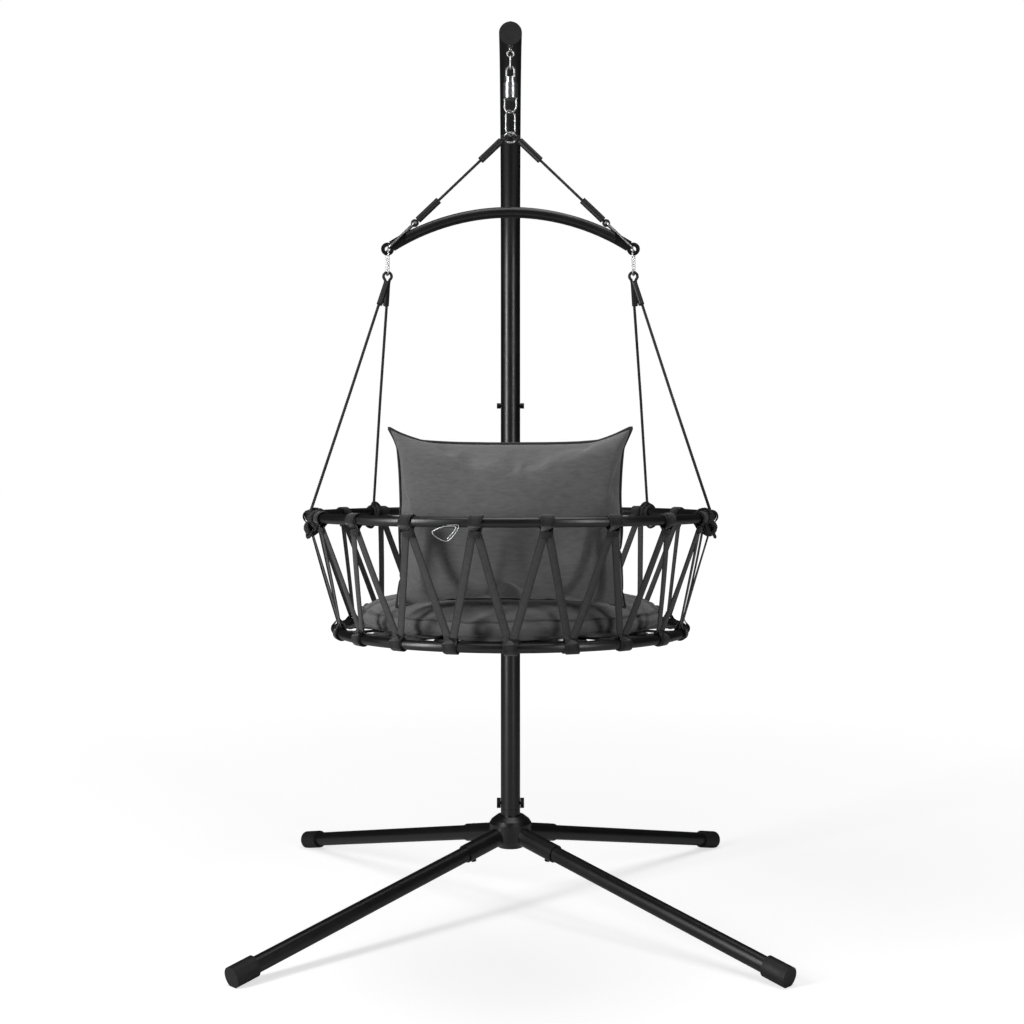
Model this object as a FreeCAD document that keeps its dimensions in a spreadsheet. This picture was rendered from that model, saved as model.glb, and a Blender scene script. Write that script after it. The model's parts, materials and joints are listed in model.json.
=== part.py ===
"""Hanging basket chair on a one-arm stand, as a parametric document.

Millimetres, +Z up. The origin is on the floor at the pole's axis. The arm reaches out along -Y and
the basket hangs from it with its open front towards the pole. Every driving dimension is a cell of
the Sizes sheet; the pieces are bound to those cells, and a derived place is worked out from them.
"""
import math
import os

import FreeCAD
import Part
from FreeCAD import Placement, Rotation, Vector

X, Y, Z = Vector(1, 0, 0), Vector(0, 1, 0), Vector(0, 0, 1)
SIDES = {"left": -1, "right": 1}

doc = FreeCAD.newDocument("hanging_chair")
sheet = doc.addObject("Spreadsheet::Sheet", "Sizes")

SIZES = {
    # stand
    "pole_diameter": 46, "pole_wall": 2, "pole_seam_height": 233, "pole_joint_height": 1147,
    "arm_height": 1908, "arm_bend_radius": 460, "hook_reach": 520, "arm_overhang": 30,
    "spigot_wall": 2, "spigot_length": 90, "slip_gap": 0.2, "joint_bolt_offset": 40,
    "joint_bolt_diameter": 8, "knob_diameter": 13, "knob_height": 9, "cap_thickness": 5,
    "foot_bolt_offset": 12, "wing_span": 24, "wing_thickness": 3, "wing_clearance": 0.3,
    "cap_skirt_depth": 16, "seam_gap": 0.6,
    # base
    "leg_axis_height": 180, "leg_reach": 800, "leg_end_height": 20.5, "leg_diameter": 35,
    "leg_wall": 2, "hub_diameter": 100, "hub_height": 75, "hub_bottom_height": 142,
    "hub_foot_height": 18, "hub_foot_taper": 20, "hub_shoulder_height": 8,
    "hub_shoulder_taper": 5, "hub_crown_height": 10, "hub_crown_lip": 9,
    "hub_well_depth": 20, "socket_start": 20, "socket_floor": 60, "leg_start": 62,
    "arm_socket_reach": 150, "arm_socket_wall": 3, "leg_bolt_reach": 128,
    "leg_bolt_diameter": 8, "bolt_head_height": 5, "foot_cap_diameter": 45,
    "foot_cap_length": 56, "foot_cap_end": 5,
    # hanging hardware
    "hardware_wire": 4, "hook_eye_radius": 6.5, "hook_shank_diameter": 8,
    "hook_thread_spare": 8, "hook_washer_height": 2,
    "hanger_link_length": 28.8, "hanger_link_radius": 5, "wire_gap": 0.3,
    "bail_radius": 8, "bail_leg": 14.3, "barrel_neck_diameter": 24, "barrel_neck_height": 12,
    "barrel_diameter": 30, "barrel_height": 26.4, "barrel_floor": 7, "barrel_bore": 20,
    "barrel_bore_height": 15, "washer_height": 2, "spindle_diameter": 10,
    "spindle_gap": 0.08, "spindle_head_height": 9, "spindle_flange": 4,
    "swivel_eye_radius": 12.5, "swivel_eye_leg": 15, "swivel_eye_turn": -20,
    "chain_link_radius": 13, "chain_link_length": 51, "chain_link_turn": 45,
    "gather_ring_radius": 12.5, "gather_ring_tilt": 40,
    # ropes and bow
    "rope_diameter": 6.5, "rope_eye_radius": 5.5, "sling_sleeve_diameter": 14,
    "sling_sleeve_length": 58, "bow_half_span": 248.7, "bow_end_height": 1481,
    "bow_rise": 74.3, "bow_diameter": 22, "bow_wall": 1.5, "bow_eye_diameter": 26,
    "bow_eye_hole": 11, "bow_flat_thickness": 5, "bow_flat_length": 38, "link_play": 1,
    "bow_link_length": 74, "bow_link_radius": 8, "hanging_link_length": 50,
    "hanging_link_radius": 8, "hanging_link_turn": 18, "rope_loop_radius": 8.2,
    "rope_sleeve_length": 52, "rope_sleeve_diameter": 12,
    "rear_knot_angle": 22, "front_knot_angle": 41.5, "rear_knot_width": 34,
    "front_knot_width": 23, "knot_ball_diameter": 34, "knot_ball_drop": 18.7,
    "knot_ball_out": 8,
    # basket
    "upper_ring_radius": 403, "upper_ring_height": 942, "lower_ring_radius": 348.5,
    "lower_ring_height": 715, "ring_diameter": 19, "ring_wall": 1.5, "strap_pairs": 20,
    "strap_width": 15, "strap_thickness": 2.4, "strap_gap": 4, "strap_spread": 4.8,
    "wrap_thickness": 2.4, "wrap_width": 24, "seat_layer_gap": 0.3,
    "seat_band_width": 38, "seat_band_pitch": 62, "seat_band_thickness": 2.4,
    "seat_band_count": 9,
    # soft parts
    "cushion_radius": 312, "cushion_thickness": 50, "cushion_edge": 22,
    "pillow_width": 430, "pillow_height": 330, "pillow_thickness": 110, "pillow_edge": 50,
    "pillow_lean": 9, "pillow_setback": 235, "pillow_lift": 11, "soft_gap": 3,
}
for row, (alias, value) in enumerate(SIZES.items(), start=1):
    sheet.set(f"A{row}", alias)
    sheet.set(f"B{row}", str(value))
    sheet.setAlias(f"B{row}", alias)
doc.recompute()


def size(alias):
    """The value of one driving dimension."""
    return float(sheet.get(alias))


def bound(kind, name, place=None, **sizes):
    """A primitive whose sizes follow expressions in the sheet's aliases."""
    piece = doc.addObject(kind, name)
    for prop, expression in sizes.items():
        words = expression.split()
        tied = " ".join("Sizes." + word if word in SIZES else word for word in words)
        piece.setExpression(prop, tied)
    if place is not None:
        piece.Placement = place
    return piece


def at(x=0.0, y=0.0, z=0.0, turn=None):
    return Placement(Vector(x, y, z), turn or Rotation())


def along(start, end):
    """Places a Z-going primitive at start, pointing at end."""
    return Placement(start, Rotation(Z, end - start))


def join(name, pieces, label=None):
    fused = doc.addObject("Part::MultiFuse", name)
    fused.Shapes = pieces
    fused.Refine = False
    return labelled(fused, label)


def cut(name, base, tool, label=None):
    result = doc.addObject("Part::Cut", name)
    result.Base = base
    result.Tool = tool
    return labelled(result, label)


NODES = []


def labelled(piece, label):
    """Gives a finished sub-part the label that names its file."""
    if label:
        piece.Label = label
        NODES.append(piece)
    return piece


def rod(name, start, end, diameter, label=None):
    """A round bar between two points; its diameter follows the sheet."""
    bar = bound("Part::Cylinder", name, along(start, end), Radius=f"{diameter} / 2")
    bar.Height = (end - start).Length
    return labelled(bar, label)


def tube(name, place, outer, wall, length, label=None):
    """A round tube along the placement's Z."""
    skin = bound("Part::Cylinder", name + "_skin", place, Radius=f"{outer} / 2", Height=length)
    bore = bound("Part::Cylinder", name + "_bore", place, Radius=f"{outer} / 2 - {wall}",
                 Height=length)
    return cut(name, skin, bore, label)


def oval_link(name, place, radius, length, label):
    """A closed oval of wire in its own XZ plane; length is between the end wires' centres."""
    reach = size(length) / 2 - size(radius)
    pieces = []
    for end, sign in (("top", 1), ("bottom", -1)):
        turn = Rotation(X, 90) if sign > 0 else Rotation(X, -90)
        bend = bound("Part::Torus", f"{name}_{end}", place * at(z=sign * reach, turn=turn),
                     Radius1=radius, Radius2="hardware_wire / 2")
        bend.Angle3 = 180
        side = bound("Part::Cylinder", f"{name}_side_{end}",
                     place * at(x=sign * size(radius), z=-reach), Radius="hardware_wire / 2")
        side.Height = 2 * reach
        pieces += [bend, side]
    return join(name, pieces, label)


# Places worked out from the driving dimensions.
hook = Vector(0, -size("hook_reach"), 0)
pole_radius = size("pole_diameter") / 2
pole_inner = pole_radius - size("pole_wall")
wire = size("hardware_wire")
seat_offset = size("bow_eye_hole") / 2 - wire / 2 - size("link_play")
leg_slope = math.asin((size("leg_axis_height") - size("leg_end_height")) / size("leg_reach"))


def on_ring(radius, angle, height, out=0.0):
    """A point beside a ring, the angle counted from the side nearest -Y, growing towards +X."""
    turned = math.radians(angle)
    reach = radius + out
    return Vector(reach * math.sin(turned), hook.y - reach * math.cos(turned), height)


def leg_place(azimuth, reach):
    """A point of a leg's axis, with Z along the leg, outwards and down."""
    outward = Vector(math.cos(math.radians(azimuth)), math.sin(math.radians(azimuth)), 0)
    start = Vector(0, 0, size("leg_axis_height"))
    line = outward * math.cos(leg_slope) - Z * math.sin(leg_slope)
    return Placement(start + line * reach, Rotation(Z, line))


LEGS = {"front_left": 225, "front_right": 315, "rear_left": 135, "rear_right": 45}


def leg_bolt_place(azimuth):
    """Across the leg, upright in the plane that holds the leg and the pole."""
    place = leg_place(azimuth, size("leg_bolt_reach"))
    line = place.Rotation.multVec(Z)
    upright = (Z - line * Z.dot(line)).normalize()
    return Placement(place.Base, Rotation(Z, upright))


def pole_drill(name, height):
    """The tool that drills the pole's tubes along X for a joint bolt."""
    return bound("Part::Cylinder", name, at(-size("pole_diameter"), 0, height, Rotation(Y, 90)),
                 Radius="joint_bolt_diameter / 2 + slip_gap", Height="pole_diameter * 2")


def base_hub():
    """Cast hub: a waisted drum with a stub and a spigot for the pole, and four leg sockets."""
    bottom, height = size("hub_bottom_height"), size("hub_height")
    drum = bound("Part::Cylinder", "hub_drum", at(z=bottom + size("hub_foot_height")),
                 Radius="hub_diameter / 2",
                 Height="hub_height - hub_foot_height - hub_shoulder_height - hub_crown_height")
    foot = bound("Part::Cone", "hub_foot", at(z=bottom),
                 Radius1="hub_diameter / 2 - hub_foot_taper", Radius2="hub_diameter / 2",
                 Height="hub_foot_height")
    crown_start = bottom + height - size("hub_crown_height")
    shoulder = bound("Part::Cone", "hub_shoulder", at(z=crown_start - size("hub_shoulder_height")),
                     Radius1="hub_diameter / 2", Radius2="hub_diameter / 2 - hub_shoulder_taper",
                     Height="hub_shoulder_height")
    crown = bound("Part::Cone", "hub_crown", at(z=crown_start),
                  Radius1="hub_diameter / 2 - hub_shoulder_taper",
                  Radius2="pole_diameter / 2 + hub_crown_lip", Height="hub_crown_height")
    stub = bound("Part::Cylinder", "hub_stub", at(z=bottom + height), Radius="pole_diameter / 2",
                 Height="pole_seam_height - hub_bottom_height - hub_height")
    spigot = bound("Part::Cylinder", "hub_spigot", at(z=size("pole_seam_height")),
                   Radius="pole_diameter / 2 - pole_wall - slip_gap", Height="spigot_length")
    body = join("hub_solid", [drum, foot, shoulder, crown, stub, spigot])
    well = bound("Part::Cylinder", "hub_well", at(z=bottom + height - size("hub_well_depth")),
                 Radius="pole_diameter / 2 - pole_wall - slip_gap - spigot_wall",
                 Height="spigot_length + hub_height")
    across = pole_drill("hub_pole_bolt_hole", size("pole_seam_height") + size("foot_bolt_offset"))
    cut("hub_cut", body, join("hub_bores", [well, across]), "base_hub")

    sockets = []
    for name, azimuth in LEGS.items():
        skin = bound("Part::Cylinder", f"socket_skin_{name}",
                     leg_place(azimuth, size("socket_start")),
                     Radius="leg_diameter / 2 + slip_gap + arm_socket_wall",
                     Height="arm_socket_reach - socket_start")
        bore = bound("Part::Cylinder", f"socket_bore_{name}",
                     leg_place(azimuth, size("socket_floor")),
                     Radius="leg_diameter / 2 + slip_gap", Height="arm_socket_reach")
        hole = bound("Part::Cylinder", f"socket_bolt_hole_{name}",
                     leg_bolt_place(azimuth) * at(z=-size("leg_diameter")),
                     Radius="leg_bolt_diameter / 2 + slip_gap", Height="leg_diameter * 2")
        tools = join(f"socket_tools_{name}", [bore, hole, drum, foot, shoulder, crown])
        sockets.append(cut(f"socket_{name}", skin, tools))
    group = doc.addObject("Part::Compound", "socket_group")
    group.Links = sockets
    labelled(group, "leg_sockets")


def leg(name, azimuth):
    """A straight tube in its hub socket, drilled for its bolt."""
    pipe = tube(f"leg_pipe_{name}", leg_place(azimuth, size("leg_start")), "leg_diameter",
                "leg_wall", "leg_reach - leg_start")
    hole = bound("Part::Cylinder", f"leg_hole_{name}",
                 leg_bolt_place(azimuth) * at(z=-size("leg_diameter")),
                 Radius="leg_bolt_diameter / 2 + slip_gap", Height="leg_diameter * 2")
    cut(f"leg_cut_{name}", pipe, hole, f"leg_{name}")


def foot_cap(name, azimuth):
    """A moulded sleeve on the leg's end, flattened where it stands on the floor."""
    back = size("leg_reach") + size("foot_cap_end") - size("foot_cap_length")
    skin = bound("Part::Cylinder", f"cap_skin_{name}", leg_place(azimuth, back),
                 Radius="foot_cap_diameter / 2", Height="foot_cap_length")
    bore = bound("Part::Cylinder", f"cap_bore_{name}", leg_place(azimuth, back - 1),
                 Radius="leg_diameter / 2 + slip_gap / 4",
                 Height="foot_cap_length - foot_cap_end + 1")
    middle = leg_place(azimuth, size("leg_reach")).Base
    block = size("foot_cap_length") * 4
    below = bound("Part::Box", f"cap_floor_{name}",
                  at(middle.x - block / 2, middle.y - block / 2, -block),
                  Length="foot_cap_length * 4", Width="foot_cap_length * 4",
                  Height="foot_cap_length * 4")
    cut(f"cap_{name}", cut(f"cap_hollow_{name}", skin, bore), below, f"foot_cap_{name}")


def bolt_group(label, places, diameter, grip, head, head_height):
    """Identical bolts: a shank flush with the far wall and a hexagon head on the near one."""
    pieces = []
    for index, place in enumerate(places):
        shank = bound("Part::Cylinder", f"{label}_shank_{index}", place * at(z=-grip / 2),
                      Radius=f"{diameter} / 2")
        shank.Height = grip
        cap = bound("Part::Prism", f"{label}_head_{index}",
                    place * at(z=-grip / 2 - size(head_height)),
                    Circumradius=head, Height=head_height)
        pieces.append(join(f"{label}_{index}", [shank, cap]))
    return pieces


def leg_bolts():
    grip = size("leg_diameter") + 2 * (size("slip_gap") + size("arm_socket_wall"))
    pieces = bolt_group("leg_bolt", [leg_bolt_place(a) for a in LEGS.values()],
                        "leg_bolt_diameter", grip, "leg_bolt_diameter * 0.8",
                        "bolt_head_height")
    compound = doc.addObject("Part::Compound", "leg_bolt_set")
    compound.Links = pieces
    labelled(compound, "leg_bolts")


def lower_pole():
    bottom = size("pole_seam_height")
    pipe = tube("lower_pole_pipe", at(z=bottom + size("seam_gap")), "pole_diameter", "pole_wall",
                "pole_joint_height - pole_seam_height - 2 * seam_gap")
    hole = pole_drill("lower_pole_hole", bottom + size("foot_bolt_offset"))
    cut("lower_pole_cut", pipe, hole, "lower_pole")


def arm_path(start_height):
    """The pole's axis above a height: upright, a quarter bend, then level to the tip."""
    bend, height = size("arm_bend_radius"), size("arm_height")
    foot = Vector(0, 0, start_height)
    spring = Vector(0, 0, height - bend)
    crown = Vector(0, -bend, height)
    tip = Vector(0, hook.y - size("arm_overhang"), height)
    half = math.sqrt(0.5) * bend
    middle = Vector(0, -bend + half, height - bend + half)
    return Part.Wire([Part.makeLine(foot, spring), Part.Arc(spring, middle, crown).toShape(),
                      Part.makeLine(crown, tip)]), foot, tip


def swept(path, start, direction, radius):
    ring = Part.Wire([Part.makeCircle(radius, start, direction)])
    return path.makePipeShell([ring], True, False)


def upper_pole():
    """The bent arm: a swept tube, drilled for the joint bolt and the hook."""
    path, foot, tip = arm_path(size("pole_joint_height"))
    shape = swept(path, foot, Z, pole_radius).cut(swept(path, foot, Z, pole_inner))
    joint = size("pole_joint_height") + size("joint_bolt_offset")
    gap = size("slip_gap")
    width = size("pole_diameter")
    across = Part.makeCylinder(size("joint_bolt_diameter") / 2 + gap, 2 * width,
                               Vector(-width, 0, joint), X)
    through = Part.makeCylinder(size("hook_shank_diameter") / 2 + gap, 2 * width,
                                Vector(0, hook.y, size("arm_height") - width), Z)
    piece = doc.addObject("Part::Feature", "upper_pole_sweep")
    piece.Shape = shape.cut(across).cut(through)
    labelled(piece, "upper_pole")
    return tip


def pole_insert():
    """Inner sleeve that joins the two pole tubes, drilled with the upper one."""
    half = size("spigot_length")
    middle = size("pole_joint_height")
    skin = bound("Part::Cylinder", "insert_skin", at(z=middle - half),
                 Radius="pole_diameter / 2 - pole_wall - slip_gap", Height="spigot_length * 2")
    bore = bound("Part::Cylinder", "insert_bore", at(z=middle - half),
                 Radius="pole_diameter / 2 - pole_wall - slip_gap - spigot_wall",
                 Height="spigot_length * 2")
    hole = pole_drill("insert_hole", middle + size("joint_bolt_offset"))
    cut("insert_cut", cut("insert_tube", skin, bore), hole, "pole_insert")


def cross_bolt(label, height):
    """A bolt through the pole along X with a round knob pressed on each end."""
    shank = bound("Part::Cylinder", f"{label}_shank", at(-pole_radius, 0, height, Rotation(Y, 90)),
                  Radius="joint_bolt_diameter / 2", Height="pole_diameter")
    pieces = [shank]
    for side, sign in SIDES.items():
        pieces.append(bound("Part::Cylinder", f"{label}_knob_{side}",
                            at(sign * (pole_radius + size("wing_clearance")), 0, height,
                               Rotation(Y, 90 * sign)),
                            Radius="knob_diameter / 2", Height="knob_height"))
        pieces.append(bound("Part::Cylinder", f"{label}_stem_{side}",
                            at(sign * pole_radius, 0, height, Rotation(Y, 90 * sign)),
                            Radius="joint_bolt_diameter / 2", Height="knob_height / 2"))
    return pieces


def pole_bolts():
    joint = size("pole_joint_height") + size("joint_bolt_offset")
    join("joint_bolt_solid", cross_bolt("joint_bolt", joint), "pole_joint_bolt")
    foot = size("pole_seam_height") + size("foot_bolt_offset")
    pieces = cross_bolt("foot_bolt", foot)
    inner = pole_radius + size("wing_clearance")
    starts = {"left": -inner - size("knob_height"), "right": inner}
    for side, start in starts.items():
        pieces.append(bound("Part::Box", f"foot_bolt_wing_{side}",
                            at(start, -size("wing_thickness") / 2, foot - size("wing_span") / 2),
                            Length="knob_height", Width="wing_thickness", Height="wing_span"))
    join("foot_bolt_solid", pieces, "pole_foot_bolt")


def end_cap(tip):
    """Push-in plug: a disc over the tube's mouth with a skirt inside it."""
    disc = bound("Part::Cylinder", "cap_disc", Placement(tip, Rotation(Z, -Y)),
                 Radius="pole_diameter / 2", Height="cap_thickness")
    skirt = bound("Part::Cylinder", "cap_skirt",
                  Placement(tip + Y * size("cap_skirt_depth"), Rotation(Z, -Y)),
                  Radius="pole_diameter / 2 - pole_wall - slip_gap", Height="cap_skirt_depth")
    join("end_cap_solid", [disc, skirt], "pole_end_cap")


def hook_eye():
    """Eye bolt through the arm, with its washer and nut on top."""
    under = size("arm_height") - pole_radius
    centre = Vector(0, hook.y, under - wire / 2 - size("hook_eye_radius"))
    eye = bound("Part::Torus", "hook_eye_ring", Placement(centre, Rotation(X, 90)),
                Radius1="hook_eye_radius", Radius2="hardware_wire / 2")
    top = size("arm_height") + pole_radius
    shank = bound("Part::Cylinder", "hook_shank", at(0, hook.y, under - wire / 2),
                  Radius="hook_shank_diameter / 2",
                  Height="pole_diameter + hardware_wire + hook_thread_spare")
    join("hook_eye_solid", [eye, shank], "hook_eye_bolt")
    washer = bound("Part::Cylinder", "hook_washer", at(0, hook.y, top),
                   Radius="hook_shank_diameter", Height="hook_washer_height")
    nut = bound("Part::Prism", "hook_nut_hex", at(0, hook.y, top + size("hook_washer_height")),
                Circumradius="hook_shank_diameter * 0.85", Height="hook_shank_diameter * 0.7")
    core = bound("Part::Cylinder", "hook_nut_core", at(0, hook.y, top - 1),
                 Radius="hook_shank_diameter / 2 + slip_gap / 4",
                 Height="hook_shank_diameter * 3")
    cut("hook_nut_cut", join("hook_nut_solid", [washer, nut]), core, "hook_nut")
    return centre


def hanging_hardware(eye):
    """Hanger link, swivel, chain link and gather ring, each hung from the one above."""
    step = wire + size("wire_gap")
    top_wire = eye.z - size("hook_eye_radius") + step
    link_middle = top_wire - size("hanger_link_length") / 2
    oval_link("hanger", at(0, hook.y, link_middle, Rotation(Z, 90)), "hanger_link_radius",
              "hanger_link_length", "hanger_link")
    pivot = top_wire - size("hanger_link_length") + step

    arch = pivot - size("bail_radius")
    bend = bound("Part::Torus", "bail_bend", at(0, hook.y, arch, Rotation(X, 90)),
                 Radius1="bail_radius", Radius2="hardware_wire / 2")
    bend.Angle3 = 180
    bail = [bend]
    for side, sign in SIDES.items():
        bail.append(bound("Part::Cylinder", f"bail_leg_{side}",
                          at(sign * size("bail_radius"), hook.y, arch - size("bail_leg")),
                          Radius="hardware_wire / 2", Height="bail_leg"))
    join("bail_solid", bail, "swivel_bail")

    neck = arch - size("bail_leg") - size("barrel_neck_height")
    floor = neck - size("barrel_height")
    shell = join("barrel_shell", [
        bound("Part::Cylinder", "barrel_neck", at(0, hook.y, neck),
              Radius="barrel_neck_diameter / 2", Height="barrel_neck_height"),
        bound("Part::Cylinder", "barrel_drum", at(0, hook.y, floor),
              Radius="barrel_diameter / 2", Height="barrel_height")])
    hollow = join("barrel_hollow", [
        bound("Part::Cylinder", "barrel_bore", at(0, hook.y, floor + size("barrel_floor")),
              Radius="barrel_bore / 2", Height="barrel_bore_height"),
        bound("Part::Cylinder", "barrel_mouth", at(0, hook.y, floor - 1),
              Radius="spindle_diameter / 2 + spindle_gap", Height="barrel_floor + 2")])
    cut("barrel_cut", shell, hollow, "swivel_barrel")

    seat = floor + size("barrel_floor")
    disc = bound("Part::Cylinder", "washer_disc", at(0, hook.y, seat),
                 Radius="barrel_bore / 2 - wire_gap", Height="washer_height")
    hole = bound("Part::Cylinder", "washer_hole", at(0, hook.y, seat - 1),
                 Radius="spindle_diameter / 2 + wire_gap", Height="washer_height + 2")
    cut("washer_cut", disc, hole, "swivel_washer")

    gap = size("wire_gap")
    head = bound("Part::Cylinder", "spindle_head", at(0, hook.y, seat + size("washer_height") + gap),
                 Radius="barrel_bore / 2 - wire_gap * 2", Height="spindle_head_height")
    stem = bound("Part::Cylinder", "spindle_stem", at(0, hook.y, floor - gap - 1),
                 Radius="spindle_diameter / 2",
                 Height="barrel_floor + washer_height + wire_gap * 2 + 2")
    flange = bound("Part::Cylinder", "spindle_flange_disc",
                   at(0, hook.y, floor - gap - size("spindle_flange")),
                   Radius="barrel_diameter / 2 - 0.5", Height="spindle_flange")
    join("spindle_solid", [head, stem, flange], "swivel_spindle")

    top = floor - gap - size("spindle_flange")
    turned = Rotation(Z, size("swivel_eye_turn"))
    low = top - size("swivel_eye_leg")
    place = at(0, hook.y, low, turned)
    bow = bound("Part::Torus", "swivel_eye_bend", place * at(turn=Rotation(X, -90)),
                Radius1="swivel_eye_radius", Radius2="hardware_wire / 2")
    bow.Angle3 = 180
    eye_pieces = [bow]
    for side, sign in SIDES.items():
        eye_pieces.append(bound("Part::Cylinder", f"swivel_eye_leg_{side}",
                                place * at(x=sign * size("swivel_eye_radius")),
                                Radius="hardware_wire / 2", Height="swivel_eye_leg"))
    join("swivel_eye_solid", eye_pieces, "swivel_eye")

    link_top = low - size("swivel_eye_radius") + step
    middle = link_top - size("chain_link_length") / 2
    oval_link("chain", at(0, hook.y, middle, Rotation(Z, size("chain_link_turn"))),
              "chain_link_radius", "chain_link_length", "chain_link")

    ring_top = link_top - size("chain_link_length") + step + 1.5
    tilt = math.radians(size("gather_ring_tilt"))
    drop = size("gather_ring_radius") * math.sin(tilt)
    back = size("gather_ring_radius") * math.cos(tilt)
    centre = Vector(0, hook.y + back, ring_top - drop)
    labelled(bound("Part::Torus", "gather_torus",
                   Placement(centre, Rotation(X, -size("gather_ring_tilt"))),
                   Radius1="gather_ring_radius", Radius2="hardware_wire / 2"), "gather_ring")
    return pivot, centre


def bow_bar():
    """A bowed tube whose solid ends are pressed flat and drilled."""
    half, rise = size("bow_half_span"), size("bow_rise")
    end_z = size("bow_end_height")
    inset = size("bow_eye_diameter") / 2
    radius = (half * half + rise * rise) / (2 * rise)
    centre = Vector(0, hook.y, end_z + rise - radius)
    sweep_angle = math.asin(half / radius) - inset * 0.8 / radius

    def point(angle):
        return centre + Vector(radius * math.sin(angle), 0, radius * math.cos(angle))

    def arc_tube(angle, tube_radius):
        start = point(-angle)
        path = Part.Wire([Part.Arc(start, point(0), point(angle)).toShape()])
        return swept(path, start, Vector(math.cos(angle), 0, math.sin(angle)), tube_radius)

    tube_radius = size("bow_diameter") / 2
    thick, flat = size("bow_flat_thickness"), size("bow_flat_length")
    bar = arc_tube(sweep_angle, tube_radius)
    bore = arc_tube(sweep_angle - (flat + tube_radius) / radius, tube_radius - size("bow_wall"))
    for sign in SIDES.values():
        middle = Vector(sign * half, hook.y - thick / 2, end_z)
        bar = bar.fuse(Part.makeCylinder(inset, thick, middle, Y))
        near = min(sign * (half - flat), sign * (half + inset))
        for face in (-1, 1):
            corner = hook.y + (thick / 2 if face > 0 else -thick / 2 - tube_radius)
            side = Part.makeBox(flat + inset, tube_radius, flat * 2, Vector(near, corner, end_z - flat))
            bar = bar.cut(side)
        bar = bar.cut(Part.makeCylinder(size("bow_eye_hole") / 2, thick + 4, middle - Y * 2, Y))
    piece = doc.addObject("Part::Feature", "bow_sweep")
    piece.Shape = bar.cut(bore)
    labelled(piece, "bow_bar")


def eye_loop(name, centre, axis, radius="rope_eye_radius"):
    """A rope's spliced eye round a wire that runs along the axis."""
    return bound("Part::Torus", name, Placement(centre, Rotation(Z, axis)),
                 Radius1=radius, Radius2="rope_diameter / 2")


def sleeve(label, rope, start, line, length, diameter):
    """A shrunk sleeve over a rope's splice."""
    skin = bound("Part::Cylinder", f"{label}_skin", Placement(start, Rotation(Z, line)),
                 Radius=f"{diameter} / 2", Height=length)
    cut(f"{label}_cut", skin, rope, label)


def sling(side, sign, ring_centre):
    """Rope from the gather ring to the bow's end, and the link that ties it there."""
    half, end_z = size("bow_half_span"), size("bow_end_height")
    tilt = math.radians(size("gather_ring_tilt"))
    wire_run = Vector(0, math.sin(math.pi / 2 - tilt), -math.cos(math.pi / 2 - tilt))
    upper = ring_centre + X * sign * size("gather_ring_radius")
    bow_eye = Vector(sign * half, hook.y, end_z)
    line = (bow_eye - upper).normalize()
    link_middle = bow_eye - line * (size("bow_link_length") / 2 + seat_offset)
    turn = Rotation(Z, -line) * Rotation(Z, 90)
    oval_link(f"bow_link_{side}_wire", Placement(link_middle, turn), "bow_link_radius",
              "bow_link_length", f"bow_link_{side}")
    lower = link_middle - line * (size("bow_link_length") / 2)
    start = upper + line * size("rope_eye_radius")
    stop = lower - line * size("rope_eye_radius")
    rope = join(f"sling_{side}_rope", [
        eye_loop(f"sling_{side}_top", upper, wire_run),
        rod(f"sling_{side}_run", start, stop, "rope_diameter"),
        eye_loop(f"sling_{side}_low", lower, Y)], f"sling_rope_{side}")
    past = size("rope_eye_radius") + size("rope_diameter") / 2
    sleeve(f"sling_sleeve_top_{side}", rope, upper + line * past, line,
           "sling_sleeve_length", "sling_sleeve_diameter")
    sleeve(f"sling_sleeve_low_{side}", rope,
           lower - line * (past + size("sling_sleeve_length")), line,
           "sling_sleeve_length", "sling_sleeve_diameter")


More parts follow.
